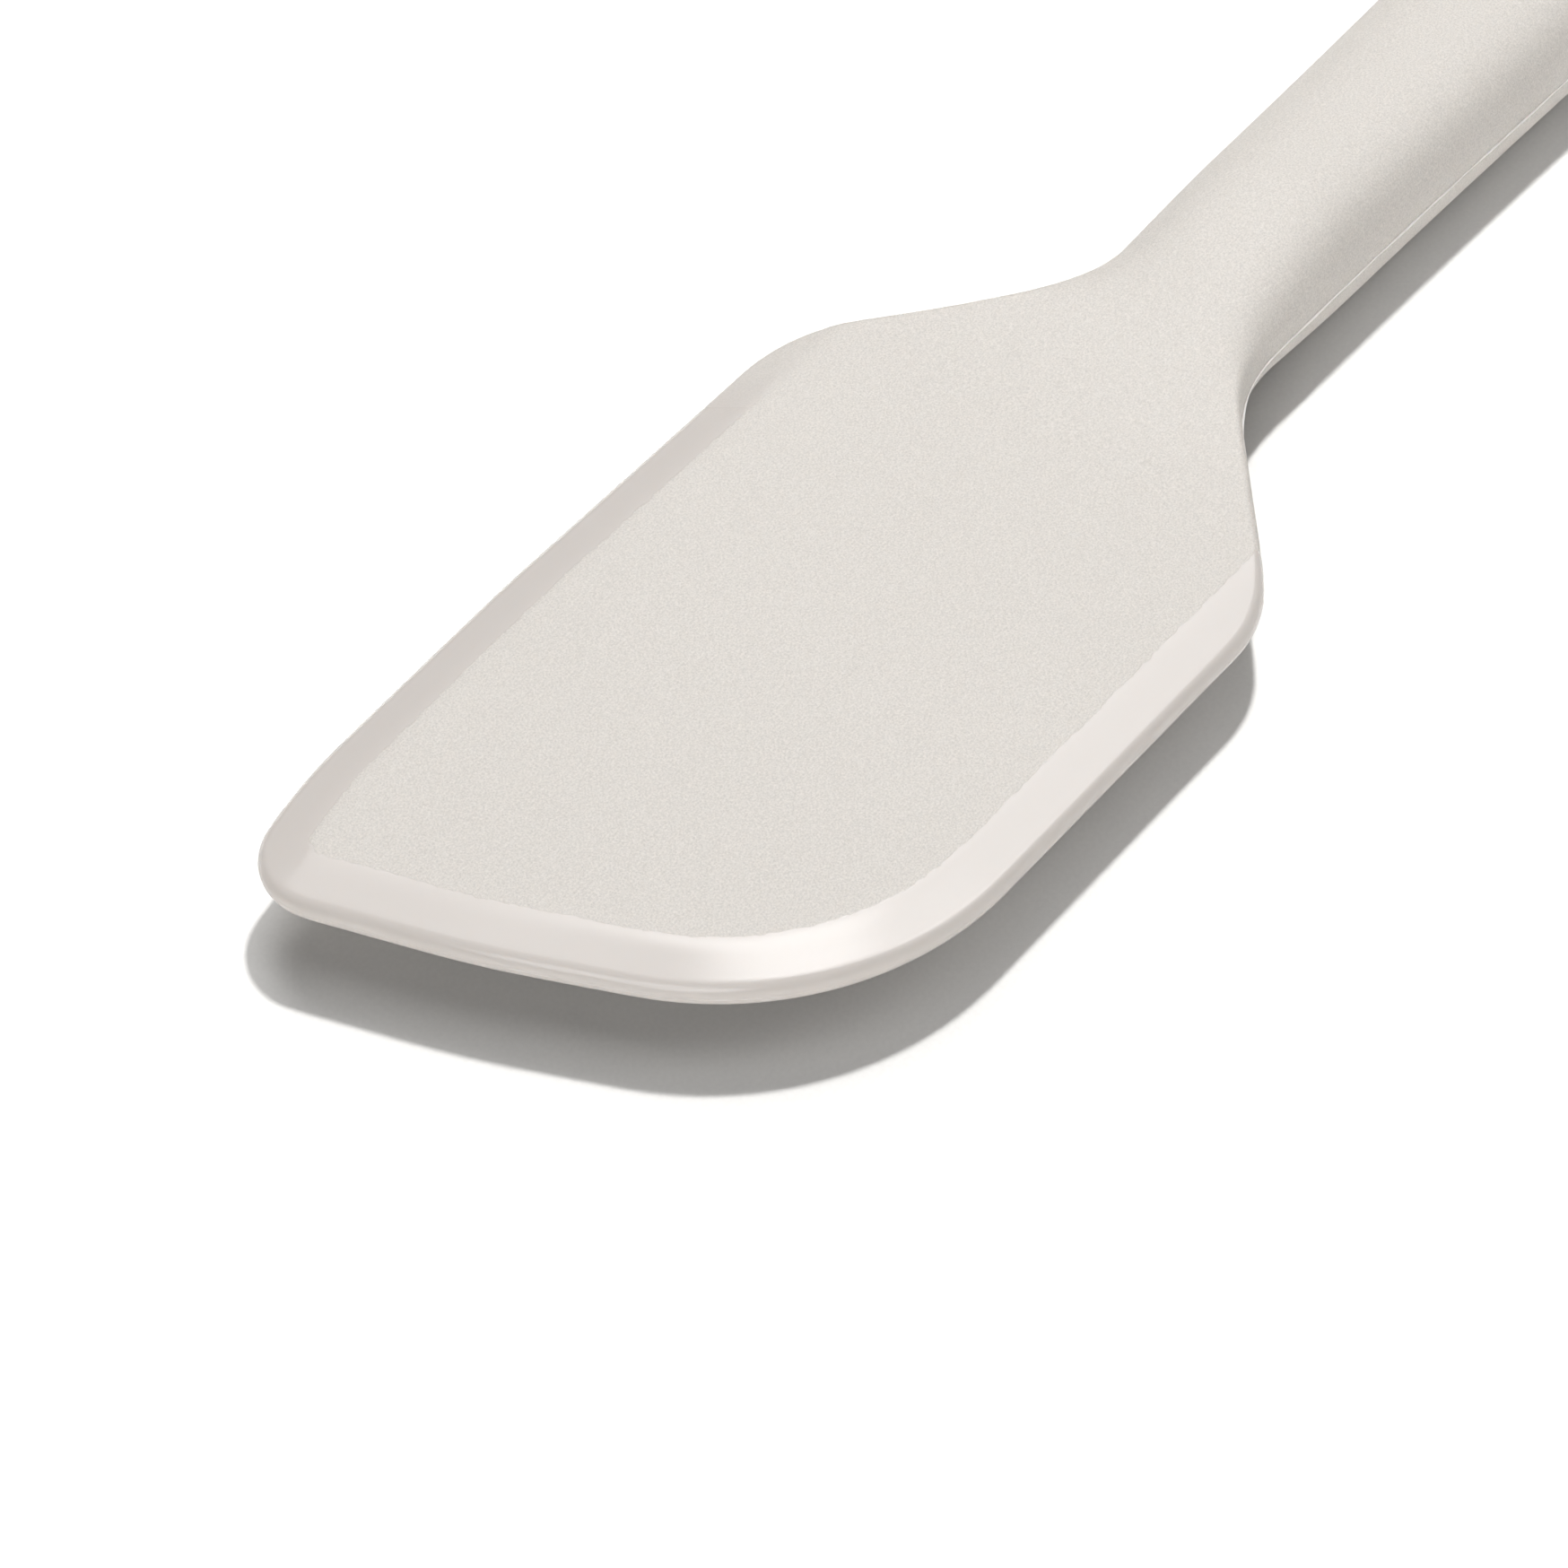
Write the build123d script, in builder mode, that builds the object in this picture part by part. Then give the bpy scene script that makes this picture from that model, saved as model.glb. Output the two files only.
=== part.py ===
"""One-piece silicone spatula: a moulded silicone body over a rigid stiffening core.

Frame, in millimetres: +X runs along the spatula towards the blade's tip, +Y points to the side
with the blade's large corner, +Z is up. The origin is below the middle of the bounding box, on
the surface that the handle rests on.
"""
import os
from math import copysign, cos, pi, sin

from build123d import *

# Overall size
total_length = 310.0
blade_width = 63.4
mid_height = 8.7            # the moulding's parting plane, above the resting surface

# Blade
blade_thickness = 6.0
rim_thickness = 2.4
bevel_width = 6.2           # polished band from the rim to the flat face
bevel_back_x = 20.0         # the bevel's planes run straight back past the shoulders to here
shoulder_x = 66.8           # where the blade's straight side would meet the shoulder line
neck_x = 42.5               # where the shoulder line would meet the handle's side
shoulder_radius = 15.0
neck_radius = 20.0
large_corner_radius = 35.0
tight_corner_radius = 7.2
tip_crown_radius = 120.0
side_bend_radius = 200.0    # the long side turns in a little towards the tight corner
side_turn_radius = 60.0

# Handle
section_power = 2.55        # 2 would be a plain ellipse
neck_power = 4.5            # the oval turns squarer where it flattens into the blade
handle_width = 25.8
neck_width = 20.8
neck_end_x = 18.0           # the handle is at its full height from here back
flare_x = 36.0              # and starts to widen into the blade here
root_x = 66.0               # where the handle's root has sunk into the blade
root_width = 40.0
root_height = 5.0
end_round = 17.0            # length over which the handle's end closes
end_power = 2.3
hang_radius = 4.5
hang_from_end = 16.0

# Stiffening core
silicone_over_core = 2.8
tongue_thickness = 2.4
tongue_width = 32.0
tongue_start_x = 36.0
tongue_full_x = 70.0        # where the tongue reaches its full width
tongue_end_x = 108.0        # short of the tip, so that the tip stays soft
tongue_radius = 12.0
keying_hole_radius = 2.6    # silicone runs through these holes and locks to the core
keying_pitch = 13.0
keying_x = 86.0
eye_lining = 2.4            # silicone between the hanging hole and the core's eye

half_length = total_length / 2
half_blade = blade_width / 2
tip_corners = [
    (132.8, half_blade - 0.2),      # large corner
    (148.8, -2.7),                  # crown of the slanted tip
    (157.2, -26.7),                 # tight corner, on the long side
    (142.0, 1.6 - half_blade),
    (112.0, 0.3 - half_blade),
]
tip_radii = [large_corner_radius, tip_crown_radius, tight_corner_radius, side_turn_radius,
             side_bend_radius]
end_start_x = -half_length + end_round
hang_x = -half_length + hang_from_end


def smooth_step(value, low, high):
    """0 below low, 1 above high, and a smooth rise between."""
    share = min(max((value - low) / (high - low), 0.0), 1.0)
    return share * share * (3 - 2 * share)


def handle_section(x, inset=0.0):
    """Half width and half height of the handle at x, drawn in on every side by the inset."""
    half_width = neck_width / 2
    half_width += (handle_width - neck_width) / 2 * smooth_step(-x, -30.0, 90.0)
    half_width += (root_width - neck_width) / 2 * smooth_step(x, flare_x, root_x)
    sunk = 1 - smooth_step(x, neck_end_x, root_x)
    half_height = root_height / 2 + (mid_height - root_height / 2) * sunk ** 1.5
    into_end = max(end_start_x - x, 0.0) / (end_round - inset)
    closing = max(1 - into_end ** end_power, 0.0) ** (1 / end_power)
    closing = max(closing, 0.25)
    return (half_width - inset) * closing, (half_height - inset) * closing


def section_points(half_width, half_height, power=section_power, count=24):
    """Points round a section that is wider than high, centred on the parting plane."""
    points = []
    for step in range(count):
        turn = 2 * pi * step / count
        across = copysign(abs(cos(turn)) ** (2 / power), cos(turn))
        up = copysign(abs(sin(turn)) ** (2 / power), sin(turn))
        points.append((half_width * across, mid_height + half_height * up))
    return points


def stations(first_x, inset=0.0):
    """Places of the sections, from first_x to the handle's end, where they crowd together."""
    neck = [first_x + (neck_end_x - first_x) * step / 10 for step in range(10)]
    grip = [neck_end_x + (end_start_x - neck_end_x) * step / 10 for step in range(11)]
    end = [end_start_x - (end_round - inset) * sin(pi / 2 * step / 8) for step in range(1, 9)]
    return neck + grip + end


# Stiffening core: a bar inside the handle that flattens into a perforated tongue
with BuildPart() as stiffening_core:
    for x in stations(60.0, silicone_over_core):
        with BuildSketch(Plane.YZ.offset(x)):
            with BuildLine():
                width, height = handle_section(x, silicone_over_core)
                Spline(*section_points(width, max(height, tongue_thickness / 2)), periodic=True)
            make_face()
    loft(ruled=True)
    with BuildSketch(Plane.XY.offset(mid_height - tongue_thickness / 2)):
        with BuildLine():
            tongue_edge = FilletPolyline(
                (tongue_start_x, 6.0),
                (tongue_full_x, tongue_width / 2),
                (tongue_end_x, tongue_width / 2),
                (tongue_end_x, -tongue_width / 2),
                (tongue_full_x, -tongue_width / 2),
                (tongue_start_x, -6.0),
                radius=[20.0, tongue_radius, tongue_radius, 20.0],
            )
            Line(tongue_edge @ 1, tongue_edge @ 0)
        make_face()
        with Locations((keying_x, 0.0)):
            with GridLocations(keying_pitch, keying_pitch, 3, 2):
                Circle(keying_hole_radius, mode=Mode.SUBTRACT)
    extrude(amount=tongue_thickness)
    with Locations((hang_x, 0.0, mid_height)):
        Cylinder(hang_radius + eye_lining, 2 * mid_height, mode=Mode.SUBTRACT)
stiffening_core.part.label = "stiffening_core"

# Silicone body: blade, neck and handle in one moulding, with the core's shape left inside it
with BuildPart() as silicone_body:
    with BuildSketch(Plane.XY.offset(mid_height - blade_thickness / 2)):
        with BuildLine():
            bevel_edge = FilletPolyline(
                (bevel_back_x, half_blade),
                *tip_corners,
                (bevel_back_x, -half_blade),
                radius=tip_radii,
            )
            Line(bevel_edge @ 1, bevel_edge @ 0)
        make_face()
    extrude(amount=blade_thickness)
    for face in (faces().sort_by(Axis.Z).first, faces().sort_by(Axis.Z).last):
        rim = face.edges().filter_by(lambda edge: edge.center().X > bevel_back_x + 1)
        chamfer(rim, bevel_width, (blade_thickness - rim_thickness) / 2, reference=face)
    with BuildSketch(Plane.XY.offset(mid_height - blade_thickness / 2)):
        with BuildLine():
            blade_edge = FilletPolyline(
                (28.0, 9.4),
                (neck_x, 9.4),
                (shoulder_x, half_blade),
                *tip_corners,
                (shoulder_x, -half_blade),
                (neck_x, -9.4),
                (28.0, -9.4),
                radius=[neck_radius, shoulder_radius, *tip_radii, shoulder_radius, neck_radius],
            )
            Line(blade_edge @ 1, blade_edge @ 0)
        make_face()
    extrude(amount=blade_thickness, mode=Mode.INTERSECT)
    for x in stations(root_x):
        with BuildSketch(Plane.YZ.offset(x)):
            with BuildLine():
                width, height = handle_section(x)
                power = section_power + (neck_power - section_power) * smooth_step(x, 30.0, 46.0)
                Spline(*section_points(width, height, power), periodic=True)
            make_face()
    loft(ruled=True)
    with Locations((hang_x, 0.0, mid_height)):
        Cylinder(hang_radius, 3 * mid_height, mode=Mode.SUBTRACT)
    add(stiffening_core.part, mode=Mode.SUBTRACT)
silicone_body.part.label = "silicone_body"

os.makedirs("parts", exist_ok=True)
export_step(stiffening_core.part, "parts/stiffening_core.step")
export_step(silicone_body.part, "parts/silicone_body.step")

for piece in (stiffening_core.part, silicone_body.part):
    box = piece.bounding_box()
    print(piece.label, len(piece.solids()), "solid", round(piece.volume / 1000, 2), "cm3",
          [round(v, 2) for v in (*box.min, *box.max)], piece.is_valid)
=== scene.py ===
import math

import bpy
import numpy as np
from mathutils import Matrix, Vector


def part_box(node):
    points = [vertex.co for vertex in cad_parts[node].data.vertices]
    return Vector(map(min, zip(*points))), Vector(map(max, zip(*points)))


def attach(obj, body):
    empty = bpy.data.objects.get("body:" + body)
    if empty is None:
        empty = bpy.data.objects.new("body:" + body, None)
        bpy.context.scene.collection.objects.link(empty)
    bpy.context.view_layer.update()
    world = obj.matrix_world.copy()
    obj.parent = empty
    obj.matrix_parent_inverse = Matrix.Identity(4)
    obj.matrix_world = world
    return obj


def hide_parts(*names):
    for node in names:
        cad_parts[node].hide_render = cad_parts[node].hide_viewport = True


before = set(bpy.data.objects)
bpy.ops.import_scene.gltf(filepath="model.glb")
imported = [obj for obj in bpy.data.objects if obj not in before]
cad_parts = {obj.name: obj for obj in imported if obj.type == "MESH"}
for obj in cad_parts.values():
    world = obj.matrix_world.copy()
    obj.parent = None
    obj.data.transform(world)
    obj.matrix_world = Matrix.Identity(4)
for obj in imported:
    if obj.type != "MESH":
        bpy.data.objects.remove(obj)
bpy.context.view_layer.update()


# --- Stiffening core -----------------------------------------------------------------------------
# A bar of glass-filled nylon with a perforated tongue, moulded first and laid in the silicone
# mould. It is sealed inside the silicone, so only a cut would show it.

def srgb(code, alpha=1.0):
    """A linear colour from an sRGB hex code."""
    parts = [int(code[i:i + 2], 16) / 255 for i in (1, 3, 5)]
    linear = [c / 12.92 if c <= 0.04045 else ((c + 0.055) / 1.055) ** 2.4 for c in parts]
    return (*linear, alpha)


def add_node(material, kind, settings=None, links=None, values=None):
    """One shader node with its settings, its input values and the sockets that feed it."""
    node = material.node_tree.nodes.new(kind)
    for name, value in (settings or {}).items():
        setattr(node, name, value)
    for name, value in (values or {}).items():
        node.inputs[name].default_value = value
    for name, source in (links or {}).items():
        material.node_tree.links.new(source, node.inputs[name])
    return node


def new_material(name):
    """An empty node material and its output node."""
    material = bpy.data.materials.new(name)
    material.use_nodes = True
    material.node_tree.nodes.clear()
    return material, material.node_tree.nodes.new("ShaderNodeOutputMaterial")


def glass_filled_nylon():
    """Natural nylon 66 with 30 % glass fibre: creamy grey, dull, with faint flow marks and fibres."""
    material, output = new_material("moulded_glass_filled_nylon")
    place = add_node(material, "ShaderNodeTexCoord").outputs["Object"]
    # flow marks about 17 mm long and 2.5 mm wide, along the bar
    flow = add_node(material, "ShaderNodeMapping", links={"Vector": place},
                    values={"Scale": (60, 400, 400)})
    marks = add_node(material, "ShaderNodeTexNoise", links={"Vector": flow.outputs["Vector"]},
                     values={"Scale": 1.0, "Detail": 4.0})
    tint = add_node(material, "ShaderNodeValToRGB", links={"Fac": marks.outputs["Fac"]})
    tint.color_ramp.elements[0].position = 0.35
    tint.color_ramp.elements[0].color = srgb("#BDB6A6")
    tint.color_ramp.elements[1].position = 0.65
    tint.color_ramp.elements[1].color = srgb("#CFC9BB")
    fibres = add_node(material, "ShaderNodeBump", links={"Height": marks.outputs["Fac"]},
                      values={"Strength": 0.4, "Distance": 0.00002})
    plastic = add_node(material, "ShaderNodeBsdfPrincipled",
                       links={"Base Color": tint.outputs["Color"], "Normal": fibres.outputs["Normal"]},
                       values={"Roughness": 0.55, "IOR": 1.53})
    material.node_tree.links.new(plastic.outputs["BSDF"], output.inputs["Surface"])
    return material


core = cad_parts["stiffening_core"]
core.data.materials.clear()
core.data.materials.append(glass_filled_nylon())


# --- Silicone body -------------------------------------------------------------------------------
# Blade, neck and handle in one piece of compression-moulded silicone, with its faces and handle
# matte and the bevel round the blade polished. The mould halves met at mid-height all round,
# where a fine ridge of flash is left. Sizes are in millimetres.

MM = 0.001
body_low, body_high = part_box("silicone_body")
mid_height = (body_high.z - body_low.z) / 2 / MM
flash_height = 0.04                     # the ridge stands this proud of the blade's rim
handle_flash = 0.22                     # and this much more along the handle and neck
flash_half = 0.045                      # half its thickness at the top
flash_foot = 0.085                      # and at its foot
tip_x = body_high.x / MM - flash_height
back_x = body_low.x / MM + flash_height
half_blade = min(body_high.y, -body_low.y) / MM - flash_height

blade_half = 3.0                        # half the blade's thickness at its face
rim_half = 1.2                          # half the rim's thickness
rim_round = 1.0                         # the rim's edges are rounded over this depth
rim_power = 2.3                         # and this square: 2 would be circular
bevel_start = 3.4                       # the bevel is straight from the rim to here
bevel_end = 6.8                         # and has eased into the flat face here
polish_width = 5.25                     # the polish reaches this far in
straight_x = 75.0                       # the blade's sides are straight from here on

neck_half = 10.4                        # half the width at the neck
grip_half = 12.8                        # and at the grip
widen_from_x = 30.0                     # the handle widens from here back
widen_to_x = -90.0                      # to here
full_height_x = 18.0                    # it is at its full height from here back
face_x = 66.0                           # and has sunk into the blade's face here
sink_power = 1.5                        # sinking fast at first, then gently
slab_from_x = 34.0                      # its oval section turns into a slab with steep edges
slab_to_x = 49.0
section_power = 2.55                    # the oval section's squareness
draft_share = 0.05                      # each half's widest level lies this far beyond mid-height
end_round = 17.0                        # the handle's end is rounded over this length
end_power = 2.3                         # and this square

hang_x = back_x + 16.0
hang_radius = 4.5
hang_lip = 1.3                          # the rounding of the hanging hole's mouth


def smooth_step(value, low, high):
    """0 below low, 1 above high, and a smooth rise between."""
    share = np.clip((value - low) / (high - low), 0.0, 1.0)
    return share * share * (3 - 2 * share)


def rounded_path(corners):
    """Points along straight runs joined by tangent arcs, from corners given as x, y and radius."""
    corners = [(np.array(corner[:2], float), corner[2]) for corner in corners]
    points = [corners[0][0]]
    for (before, _), (here, radius), (after, _) in zip(corners, corners[1:], corners[2:]):
        back = (before - here) / np.linalg.norm(before - here)
        ahead = (after - here) / np.linalg.norm(after - here)
        half_opening = math.acos(np.clip(back @ ahead, -1, 1)) / 2
        middle = (back + ahead) / np.linalg.norm(back + ahead)
        centre = here + middle * radius / math.sin(half_opening)
        first = here + back * radius / math.tan(half_opening) - centre
        last = here + ahead * radius / math.tan(half_opening) - centre
        for share in np.linspace(0, 1, 40):
            spoke = first * (1 - share) + last * share
            points.append(centre + spoke / np.linalg.norm(spoke) * radius)
    points.append(corners[-1][0])
    return np.array(points)


def path_lengths(points):
    """How far along a path each of its points lies."""
    return np.concatenate([[0], np.cumsum(np.linalg.norm(np.diff(points, axis=0), axis=1))])


def side_path(tip_corners):
    """Half the outline, with y counted away from the middle: handle's end, grip, neck, blade."""
    grip_front_x = 26.0
    end_start = back_x + end_round
    turn = np.linspace(0, math.pi / 2, 80)[:-1]
    end = np.stack([end_start - end_round * np.cos(turn) ** (2 / end_power),
                    grip_half * np.sin(turn) ** (2 / end_power)], 1)
    grip_x = np.arange(end_start, grip_front_x, 2.0)
    grip_y = neck_half + (grip_half - neck_half) * smooth_step(-grip_x, -widen_from_x, -widen_to_x)
    neck = [(grip_front_x + 2.0, neck_half, 0), (42.5, neck_half, 20.0), (66.8, half_blade, 15.0)]
    return np.concatenate([end, np.stack([grip_x, grip_y], 1), rounded_path(neck + tip_corners)])


# The two sides meet on the slanted tip, whose corners are given as x, y and radius. The large
# corner is on one side, the tight one on the other, where the blade is longest.
large_side = side_path([(tip_x - 22.1, half_blade - 0.2, 35.0), (tip_x - 6.1, -2.7, 120.0),
                        (tip_x - 3.6, -10.0, 0)])
tight_side = side_path([(tip_x - 42.9, half_blade - 0.3, 200.0),
                        (tip_x - 12.9, half_blade - 1.6, 60.0),
                        (tip_x + 2.3, 26.7, 7.2), (tip_x - 3.6, 10.0, 0)])


def station_points(path, shared_count, blade_count):
    """Even points along one side: shared_count up to the blade, then blade_count to the tip."""
    blade_x = 72.0
    well_past_x = 100.0
    lengths = path_lengths(path)
    reach = np.argmax(path[:, 0] > well_past_x) + 1
    blade_from = np.interp(blade_x, path[:reach, 0], lengths[:reach])
    places = np.concatenate([np.linspace(0, blade_from, shared_count + 1)[:-1],
                             np.linspace(blade_from, lengths[-1], blade_count + 1)])
    return np.stack([np.interp(places, lengths, path[:, axis]) for axis in (0, 1)], 1)


def soften(loop, reach, spacing):
    """A closed loop with its curvature evened out over the given reach."""
    offsets = np.arange(-12, 13)
    weights = np.exp(-0.5 * (offsets * spacing / reach) ** 2)
    weights /= weights.sum()
    return sum(weight * np.roll(loop, offset, axis=0) for weight, offset in zip(weights, offsets))


side_large = station_points(large_side, shared_count=300, blade_count=150)
side_tight = station_points(tight_side, shared_count=300, blade_count=150)
side_tight[:, 1] *= -1
half_count = len(side_large) - 1
outline = np.concatenate([side_tight[:-1], side_large[:0:-1]])
outline = soften(outline, reach=1.1, spacing=0.8)
count = len(outline)
tangent = np.roll(outline, -1, axis=0) - np.roll(outline, 1, axis=0)
tangent /= np.linalg.norm(tangent, axis=1)[:, None]
inward = np.stack([-tangent[:, 1], tangent[:, 0]], 1)
width_order = np.argsort(outline[half_count:, 0])
width_x = outline[half_count:, 0][width_order]
width_y = outline[half_count:, 1][width_order]


def from_side(x, y, edge):
    """How far in from the blade's rim a place lies, as if the sides ran straight on to the neck."""
    return np.where(x < straight_x, half_blade - np.abs(y), edge)


def half_height(x, y, edge, rim_round=rim_round):
    """Half the thickness at a place in plan that lies edge inside the rim."""
    inside = from_side(x, y, edge)
    past = np.clip((inside - bevel_start) / (bevel_end - bevel_start), 0, 1)
    eased = past - past ** 3 + past ** 4 / 2
    climb = np.minimum(inside, bevel_start) + (bevel_end - bevel_start) * eased
    bevel = rim_half + (blade_half - rim_half) * climb / ((bevel_start + bevel_end) / 2)
    from_round = 1 - np.clip(edge / rim_round, 0, 1)
    blade = bevel * (1 - from_round ** rim_power) ** (1 / rim_power)
    width = np.interp(x, width_x, width_y) / (1 - draft_share ** section_power) ** (1 / section_power)
    across = np.clip(np.abs(y) / np.maximum(width, 0.01), 0, 1)
    handle = ((1 - across ** section_power) ** (1 / section_power) - draft_share) / (1 - draft_share)
    handle_part = 1 - smooth_step(x, slab_from_x, slab_to_x)
    shape = (1 - handle_part) * blade / blade_half + handle_part * np.maximum(handle, 0)
    into_end = np.clip((back_x + end_round - x) / end_round, 0, 1)
    sunk = 1 - smooth_step(x, full_height_x, face_x)
    middle = blade_half + (mid_height - blade_half) * sunk ** sink_power
    middle = middle * (1 - into_end ** end_power) ** (1 / end_power)
    from_hole = np.hypot(x - hang_x, y) - hang_radius
    lip = hang_lip * (1 - np.sqrt(1 - (1 - np.clip(from_hole / hang_lip, 0, 1)) ** 2))
    return middle * shape - lip


# Rows across the body: close together at the flash, then evenly along the rounded rim and bevel,
# as far in as the tight corner's radius allows.
ring_depth = 6.4
fine_edge = ring_depth * np.linspace(0, 1, 400) ** 3
fine_x = outline[:, :1] + inward[:, :1] * fine_edge
fine_y = outline[:, 1:] + inward[:, 1:] * fine_edge
fine_height = half_height(fine_x, fine_y, fine_edge[None, :])
fine_length = np.concatenate([np.zeros((count, 1)), np.cumsum(
    np.hypot(np.diff(fine_edge)[None, :], np.diff(fine_height, axis=1)), axis=1)], 1)
flash_rows = np.array([0, 0.04, 0.05, 0.06, 0.07, 0.08, 0.09, 0.13, 0.25])
rim_rows = 26
row_share = np.linspace(0, 1, rim_rows + 1)[1:] ** 1.15
rings_edge = []
for point in range(count):
    total = fine_length[point, -1]
    places = np.concatenate([flash_rows, flash_rows[-1] + (total - flash_rows[-1]) * row_share])
    rings_edge.append(np.interp(places, fine_length[point], fine_edge))
rings_edge = np.array(rings_edge).T
rings = outline[None] + inward[None] * rings_edge[..., None]

# Where each row ends: on the hanging hole's mouth at the handle's end, and on a middle line from
# there to the tip, where the two sides join.
position = np.arange(count)
from_end = np.minimum(position, count - position)
side_sign = np.where(position <= half_count, -1.0, 1.0)
hole_reach = 12.0                       # the rows end on the hole's mouth up to here past it
hole_fade = 35.0                        # and crowd towards it for this much further
spine_turns_x = 60.0                    # the middle line leaves the X axis here
spine_depth = ring_depth + 4.0          # and ends this far inside the tip
hole_count = int(np.argmax(outline[:half_count, 0] > hang_x + hole_reach))
polar = np.arctan2(np.abs(outline[:, 1]), outline[:, 0] - hang_x)
after_hole = np.clip((outline[:, 0] - hang_x) / (outline[hole_count, 0] - hang_x), 0, 1)
polar = np.where(outline[:, 0] < hang_x, polar, math.pi / 2 * (1 - after_hole))
middle_start = outline[hole_count, 0] - hang_x - hang_radius
middle_x = outline[:, 0] - middle_start * (1 - smooth_step(outline[:, 0], hang_x + hole_reach,
                                                           hang_x + hole_reach + hole_fade))
tip_inner = outline[half_count] + inward[half_count] * spine_depth
blade_first = int(np.argmax(outline[:half_count, 0] > spine_turns_x))
blade_share = np.clip((from_end - blade_first) / (half_count - blade_first), 0, 1)
blade_start = outline[blade_first, 0]
middle_x = np.where(from_end >= blade_first,
                    blade_start + (tip_inner[0] - blade_start) * blade_share, middle_x)
tip_slope = inward[half_count, 1] / inward[half_count, 0] * (tip_inner[0] - blade_start)
middle_y = tip_inner[1] * blade_share ** 2 * (3 - 2 * blade_share)
middle_y += tip_slope * blade_share ** 2 * (blade_share - 1)
near_hole = from_end <= hole_count
target = np.stack([
    np.where(near_hole, hang_x + hang_radius * np.cos(polar), middle_x),
    np.where(near_hole, side_sign * hang_radius * np.sin(polar), middle_y)], 1)
target[0] = (hang_x - hang_radius, 0.0)

inner_rows = 14
inner_share = 1 - (1 - np.arange(1, inner_rows + 1) / inner_rows) ** 1.6
inner = rings[-1][None] + (target - rings[-1])[None] * inner_share[:, None, None]
inner_edge = ring_depth + np.linalg.norm(inner - rings[-1][None], axis=2)
plan = np.concatenate([rings, inner])
edge = np.concatenate([rings_edge, inner_edge])
height = half_height(plan[..., 0], plan[..., 1], edge)

# The underside is the same, but with the neck's edges rounded over up to 5 mm.
in_neck = smooth_step(plan[..., 0], 34.0, 42.0) * (1 - smooth_step(plan[..., 0], 48.0, 64.0))
under_round = rim_round + 4.0 * in_neck
depth = half_height(plan[..., 0], plan[..., 1], edge, under_round)

# The flash: a hair-fine ridge where the mould halves met. It is uneven along its length, in
# waves about 19 and 9 mm long, and dies away at the handle's end and at the blade.
around = np.concatenate([[0], np.cumsum(np.linalg.norm(np.diff(outline, axis=0), axis=1))])
unevenness = 0.75 + 0.13 * np.sin(around / 3.1) + 0.12 * np.sin(around / 1.37 + 1.0)
on_handle = smooth_step(outline[:, 0], -150.0, -135.0)
on_handle *= 1 - smooth_step(outline[:, 0], 52.0, 64.0)
proud = (flash_height + handle_flash * on_handle) * unevenness
ridge = proud[None] * np.clip((flash_foot - height) / (flash_foot - flash_half), 0, 1)
ridge = ridge * (edge < 0.2)
plan = plan - inward[None] * ridge[..., None]

rows = len(plan)
top = np.concatenate([plan, (mid_height + height)[..., None]], 2)
bottom = np.concatenate([plan, (mid_height - depth)[..., None]], 2)
verts = []
edge_values = []
flash_highlight_values = []
top_index = np.zeros((rows, count), int)
bottom_index = np.zeros((rows, count), int)
for row in range(rows):
    for point in range(count):
        mirror = (count - point) % count
        joined = row == rows - 1 and point > half_count and from_end[point] >= hole_count
        if joined:
            top_index[row, point] = top_index[row, mirror]
            bottom_index[row, point] = bottom_index[row, mirror]
            continue
        top_index[row, point] = len(verts)
        verts.append(top[row, point])
        edge_values.append(edge[row, point])
        flash_highlight_values.append(ridge[row, point] / handle_flash)
        if row == 0:
            bottom_index[row, point] = top_index[row, point]
            continue
        bottom_index[row, point] = len(verts)
        verts.append(bottom[row, point])
        edge_values.append(edge[row, point])
        flash_highlight_values.append(ridge[row, point] / handle_flash)

faces = []
for row in range(rows - 1):
    for point in range(count):
        following = (point + 1) % count
        quad = (top_index[row, point], top_index[row, following],
                top_index[row + 1, following], top_index[row + 1, point])
        faces.append(quad)
        quad = (bottom_index[row, point], bottom_index[row + 1, point],
                bottom_index[row + 1, following], bottom_index[row, following])
        faces.append(quad)

# The hanging hole's wall, from its upper mouth to its lower one.
hole_loop = [point for point in range(count) if from_end[point] <= hole_count]
hole_loop = sorted(hole_loop, key=lambda point: (point + count // 2) % count)
wall_rows = 8
wall_index = [[top_index[-1, point] for point in hole_loop]]
for wall_row in range(1, wall_rows):
    share = wall_row / wall_rows
    wall_index.append([])
    for point in hole_loop:
        if point == hole_loop[-1]:
            wall_index[-1].append(wall_index[-1][0])
            continue
        wall_index[-1].append(len(verts))
        verts.append(top[-1, point] * (1 - share) + bottom[-1, point] * share)
        edge_values.append(ring_depth)
        flash_highlight_values.append(0.0)
wall_index.append([bottom_index[-1, point] for point in hole_loop])
for upper, lower in zip(wall_index, wall_index[1:]):
    for step in range(len(hole_loop) - 1):
        faces.append((upper[step], upper[step + 1], lower[step + 1], lower[step]))

mesh = bpy.data.meshes.new("silicone_body_surface")
mesh.from_pydata([Vector(v) * MM for v in verts], [], faces)
mesh.validate()
plan_x, plan_y = np.array([vert[:2] for vert in verts]).T
side_values = from_side(plan_x, plan_y, np.array(edge_values))
mesh.attributes.new("side_distance", "FLOAT", "POINT").data.foreach_set("value", side_values)
# the flash's share of its ridge height, the mask for its painted highlight
mesh.attributes.new("flash_highlight_share", "FLOAT", "POINT").data.foreach_set("value", flash_highlight_values)
mesh.shade_smooth()
body = bpy.data.objects.new("silicone_body_surface", mesh)
bpy.context.scene.collection.objects.link(body)


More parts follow.
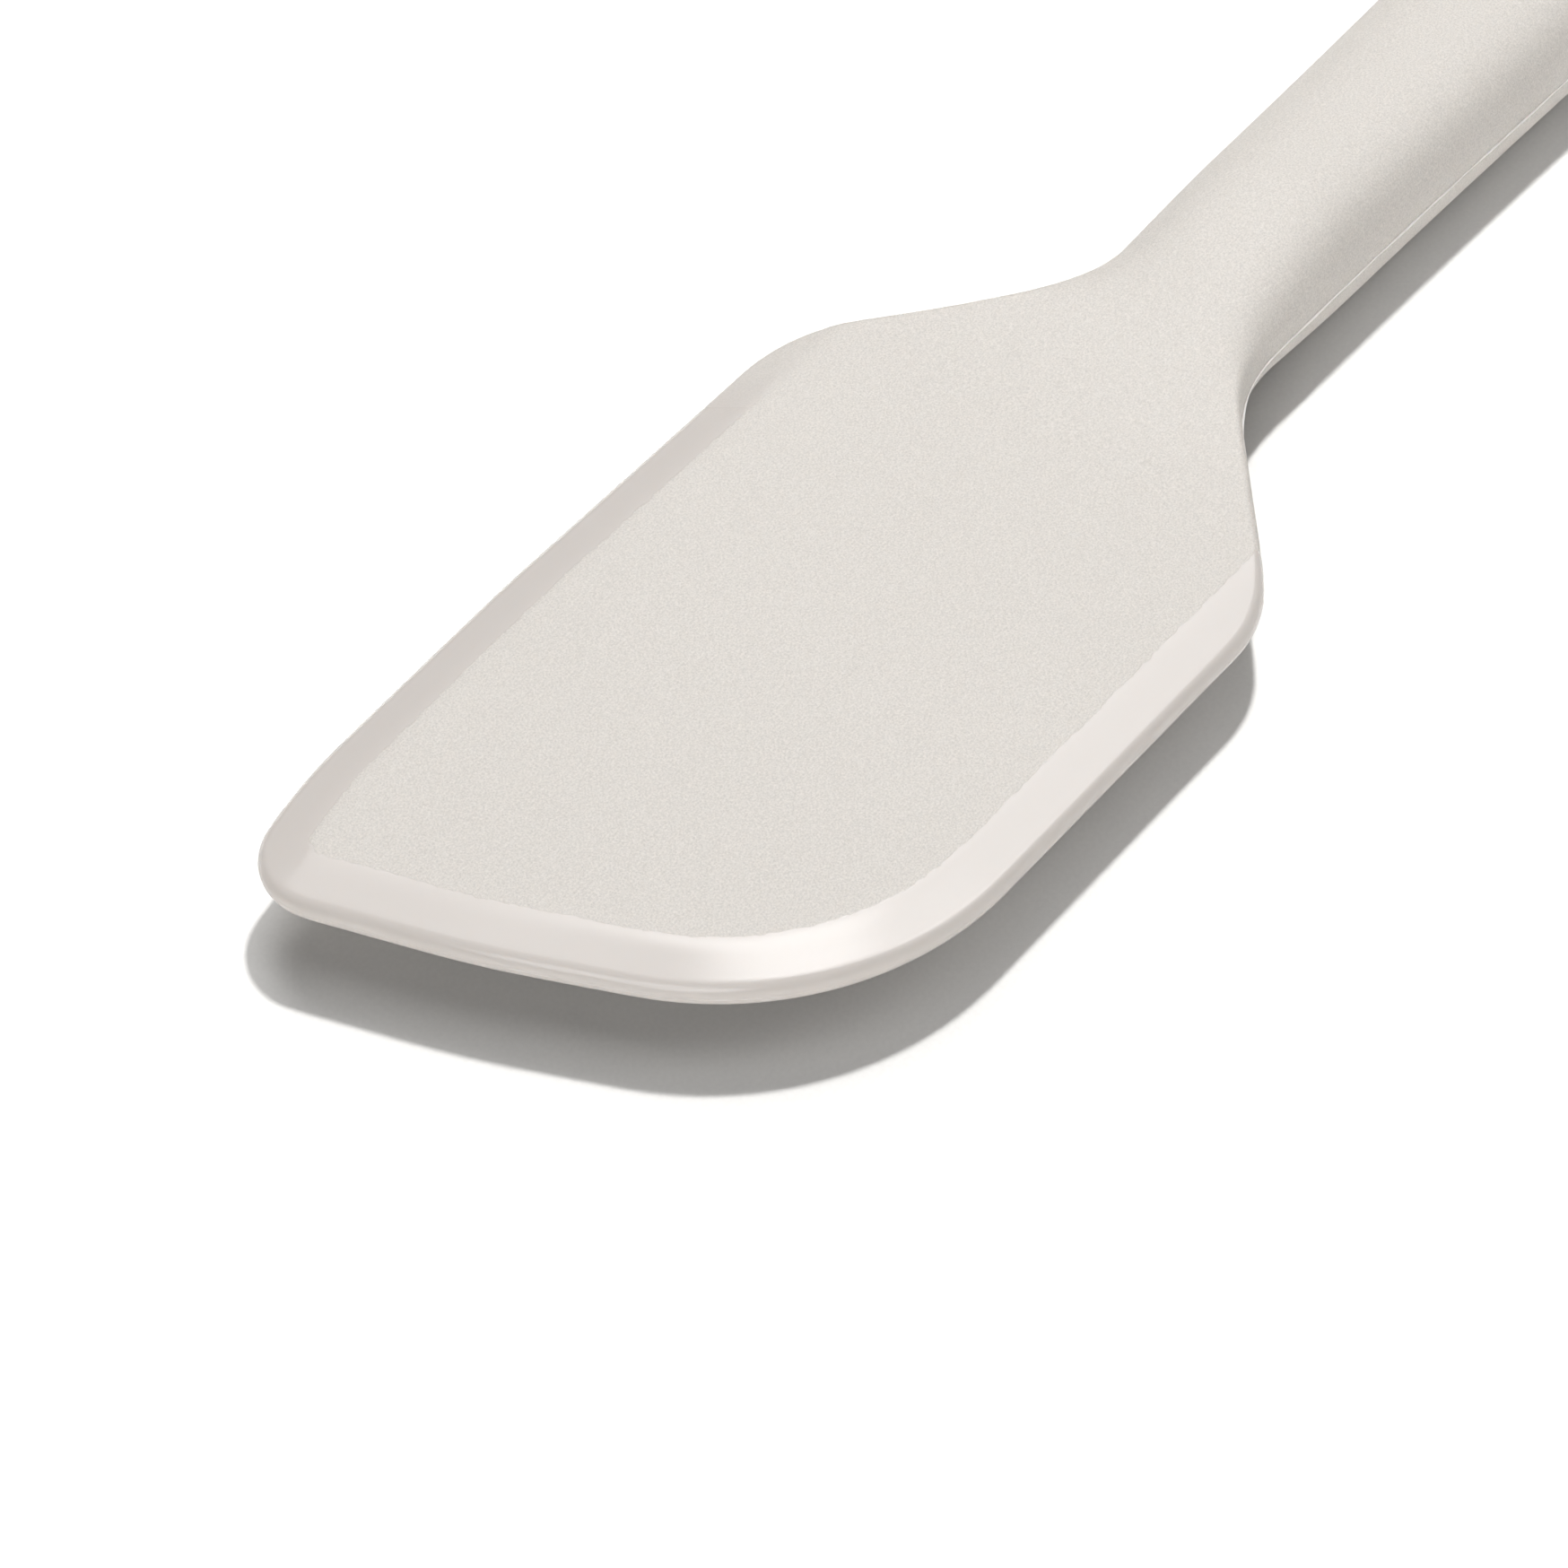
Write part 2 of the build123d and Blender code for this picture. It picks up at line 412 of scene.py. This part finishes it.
def silicone():
    """Food-grade silicone rubber, oat coloured. Its matte surface copies spark-eroded steel and is
    dull, with a sparkle. The bevel round the blade copies polished steel and reflects."""
    material, output = new_material("moulded_oat_silicone")
    place = add_node(material, "ShaderNodeTexCoord").outputs["Object"]
    edge_in = add_node(material, "ShaderNodeAttribute", {"attribute_name": "side_distance"})
    axes = add_node(material, "ShaderNodeSeparateXYZ", links={"Vector": place})

    # where the polish ends: an uneven line that wanders by a few tenths of a millimetre
    wander = 0.9
    ragged = add_node(material, "ShaderNodeTexNoise", links={"Vector": place},
                      values={"Scale": 1 / (1.1 * MM), "Detail": 3.0, "Roughness": 0.6})
    shift = add_node(material, "ShaderNodeMath", {"operation": "MULTIPLY_ADD"},
                     {0: ragged.outputs["Fac"], 2: edge_in.outputs["Fac"]}, {1: wander})
    band = add_node(material, "ShaderNodeMapRange", {"interpolation_type": "SMOOTHSTEP"},
                    {"Value": shift.outputs["Value"]},
                    {"From Min": polish_width + 0.4 * wander, "From Max": polish_width + 0.6 * wander,
                     "To Min": 1.0, "To Max": 0.0})

    # it fades out towards the neck, sooner on the side of the tight corner
    slanted = add_node(material, "ShaderNodeMath", {"operation": "MULTIPLY_ADD"},
                       {0: axes.outputs["Y"], 2: axes.outputs["X"]}, {1: 0.35})
    on_blade = add_node(material, "ShaderNodeMapRange", {"interpolation_type": "SMOOTHSTEP"},
                        {"Value": slanted.outputs["Value"]}, {"From Min": 54 * MM, "From Max": 76 * MM})
    polish = add_node(material, "ShaderNodeMath", {"operation": "MULTIPLY"},
                      {0: band.outputs["Result"], 1: on_blade.outputs["Result"]}).outputs["Value"]

    # spark-eroded pits. Real ones are under 0.1 mm across; these are 0.2 mm, so that they show.
    # They are a bump, and their shade and glints are also painted into the colour as darker and lighter
    # speckles; the polished bevel has almost none.
    pits = add_node(material, "ShaderNodeTexNoise", links={"Vector": place},
                    values={"Scale": 1 / (0.22 * MM), "Detail": 3.0, "Roughness": 0.7})
    depth = add_node(material, "ShaderNodeMath", {"operation": "MULTIPLY_ADD"},
                     {0: polish}, {1: -0.97, 2: 1.0})
    relief = add_node(material, "ShaderNodeMath", {"operation": "MULTIPLY"},
                      {0: pits.outputs["Fac"], 1: depth.outputs["Value"]})
    bump = add_node(material, "ShaderNodeBump", links={"Height": relief.outputs["Value"]},
                    values={"Strength": 1.0, "Distance": 0.06 * MM})
    # painted shade and glints: the pits' noise scales the colour from 0.86 to 1.14
    painted_pit_shade_and_glint = add_node(material, "ShaderNodeMapRange", links={"Value": pits.outputs["Fac"]},
                     values={"From Min": 0.32, "From Max": 0.68, "To Min": 0.86, "To Max": 1.14})
    gloss = add_node(material, "ShaderNodeMapRange", links={"Value": polish},
                     values={"To Min": 0.58, "To Max": 0.17})

    # pigment: nearly even, a touch cloudy over centimetres
    cloud = add_node(material, "ShaderNodeTexNoise", links={"Vector": place},
                     values={"Scale": 1 / (30 * MM), "Detail": 2.0})
    pigment = add_node(material, "ShaderNodeMix", {"data_type": "RGBA"})
    pigment.inputs[6].default_value = srgb("#CCC7C1")
    pigment.inputs[7].default_value = srgb("#CFCAC4")
    material.node_tree.links.new(cloud.outputs["Fac"], pigment.inputs[0])
    painted_speckle = add_node(material, "ShaderNodeVectorMath", {"operation": "SCALE"},
                        {0: pigment.outputs[2], "Scale": painted_pit_shade_and_glint.outputs["Result"]})
    lighter = add_node(material, "ShaderNodeMix", {"data_type": "RGBA"})
    lighter.inputs[7].default_value = srgb("#CFC9C4")
    material.node_tree.links.new(polish, lighter.inputs[0])
    material.node_tree.links.new(painted_speckle.outputs["Vector"], lighter.inputs[6])

    # painted highlight: where the flash stands proud, its colour is mixed towards near-white #FBF8F4,
    # standing in for the light that shines through the thin ridge
    flash = add_node(material, "ShaderNodeAttribute", {"attribute_name": "flash_highlight_share"})
    flash_painted_highlight = add_node(material, "ShaderNodeMapRange", links={"Value": flash.outputs["Fac"]},
                    values={"From Min": 0.1, "From Max": 0.5})
    flash_highlight_colour = add_node(material, "ShaderNodeMix", {"data_type": "RGBA"})
    flash_highlight_colour.inputs[7].default_value = srgb("#FBF8F4")
    material.node_tree.links.new(flash_painted_highlight.outputs["Result"], flash_highlight_colour.inputs[0])
    material.node_tree.links.new(lighter.outputs[2], flash_highlight_colour.inputs[6])

    rubber = add_node(material, "ShaderNodeBsdfPrincipled",
                      links={"Base Color": flash_highlight_colour.outputs[2], "Roughness": gloss.outputs["Result"],
                             "Normal": bump.outputs["Normal"]},
                      values={"IOR": 1.41, "Subsurface Weight": 0.25, "Subsurface Scale": 1.5 * MM,
                              "Subsurface Radius": (1.0, 0.8, 0.65)})
    material.node_tree.links.new(rubber.outputs["BSDF"], output.inputs["Surface"])
    return material


mesh.materials.append(silicone())
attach(body, "root")
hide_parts("silicone_body")


# --- Floor ---------------------------------------------------------------------------------------
# A plain white studio table, seamless.

reach = 3.0                             # half the table's width, in metres
floor_mesh = bpy.data.meshes.new("studio_floor")
floor_mesh.from_pydata([(-reach, -reach, 0), (reach, -reach, 0), (reach, reach, 0), (-reach, reach, 0)],
                       [], [(0, 1, 2, 3)])
floor = bpy.data.objects.new("studio_floor", floor_mesh)
bpy.context.scene.collection.objects.link(floor)
paper, paper_output = new_material("white_backdrop_paper")
grain = add_node(paper, "ShaderNodeTexNoise",
                 links={"Vector": add_node(paper, "ShaderNodeTexCoord").outputs["Object"]},
                 values={"Scale": 1 / (0.5 * MM), "Detail": 3.0})
paper_tint = add_node(paper, "ShaderNodeMix", {"data_type": "RGBA"})
paper_tint.inputs[6].default_value = srgb("#C5C4C2")
paper_tint.inputs[7].default_value = srgb("#CFCECC")
paper.node_tree.links.new(grain.outputs["Fac"], paper_tint.inputs[0])
sheet = add_node(paper, "ShaderNodeBsdfPrincipled", links={"Base Color": paper_tint.outputs[2]},
                 values={"Roughness": 0.9, "Specular IOR Level": 0.1})
paper.node_tree.links.new(sheet.outputs["BSDF"], paper_output.inputs["Surface"])
floor_mesh.materials.append(paper)


# --- Light ---------------------------------------------------------------------------------------
# A small lamp above the handle gives the crisp shadow. Softboxes all round and overhead fill it,
# and three more only give the reflections in the polished bevel.

def aim(thing, direction):
    """Turns a lamp or camera, which look along their own -Z, to look along a direction."""
    thing.rotation_euler = Vector(direction).to_track_quat("-Z", "Y").to_euler()


def small_lamp(name, power):
    """A bulb in a 50 mm globe, above the handle."""
    lamp = bpy.data.objects.new(name, bpy.data.lights.new(name, "POINT"))
    lamp.data.energy = power
    lamp.data.shadow_soft_size = 0.025
    lamp.location = (-0.2, -0.135, 0.7)
    bpy.context.scene.collection.objects.link(lamp)
    return lamp


def softbox(name, side_angle, height_angle, half_angle, power):
    """A round softbox round the blade, placed and sized by the angles in degrees that it is seen at."""
    distance = 1.2
    blade_middle = Vector((0.06, 0, 0))
    side_angle = math.radians(side_angle)
    height_angle = math.radians(height_angle)
    way = Vector((math.cos(side_angle) * math.cos(height_angle),
                  math.sin(side_angle) * math.cos(height_angle), math.sin(height_angle)))
    lamp = bpy.data.objects.new(name, bpy.data.lights.new(name, "AREA"))
    lamp.data.shape = "DISK"
    lamp.data.size = 2 * distance * math.tan(math.radians(half_angle))
    lamp.data.energy = power
    lamp.location = blade_middle + way * distance
    aim(lamp, -way)
    bpy.context.scene.collection.objects.link(lamp)
    return lamp


small_lamp("key_lamp", 5.4)
softbox("front_softbox", 25, 22, 18, 7.2)
softbox("side_softbox", 120, 55, 16, 2.7)
softbox("back_softbox", 230, 55, 16, 8.8)
softbox("overhead_softbox", 0, 89, 16, 2.0)
for name, *place in (("long_gloss", 160, 72, 24, 15.5), ("corner_gloss", 150, 83, 10, 2.2),
                     ("tip_gloss", 285, 68, 14, 2.4)):
    softbox(name, *place).visible_diffuse = False

# The floor has a lamp of its own at the same place, so that it burns out to white in the light.
floor_lamp = small_lamp("floor_lamp", 24.0)
floor_only = bpy.data.collections.new("floor_only")
floor_only.objects.link(floor)
floor_lamp.light_linking.receiver_collection = floor_only

room = bpy.data.worlds.new("dark_room")
room.use_nodes = True
room.node_tree.nodes["Background"].inputs["Color"].default_value = srgb("#F6F4F1")
room.node_tree.nodes["Background"].inputs["Strength"].default_value = 0.02
bpy.context.scene.world = room
bpy.context.scene.view_settings.view_transform = "Standard"


# --- Camera --------------------------------------------------------------------------------------
# A 100 mm lens, close, looking down on the blade with the handle running off to the upper right.

camera = bpy.data.objects.new("camera", bpy.data.cameras.new("camera"))
camera.data.lens = 100.0
camera.data.sensor_width = 36.0
camera.data.clip_start = 0.01
distance = 0.422
side_angle = math.radians(38.45)
down_angle = math.radians(50.1)
looks_at = Vector(((tip_x - 41.3) * MM, 6.6 * MM, mid_height * MM))
away = Vector((math.cos(side_angle) * math.cos(down_angle), math.sin(side_angle) * math.cos(down_angle),
               math.sin(down_angle)))
camera.location = looks_at + away * distance
aim(camera, -away)
bpy.context.scene.collection.objects.link(camera)
bpy.context.scene.camera = camera
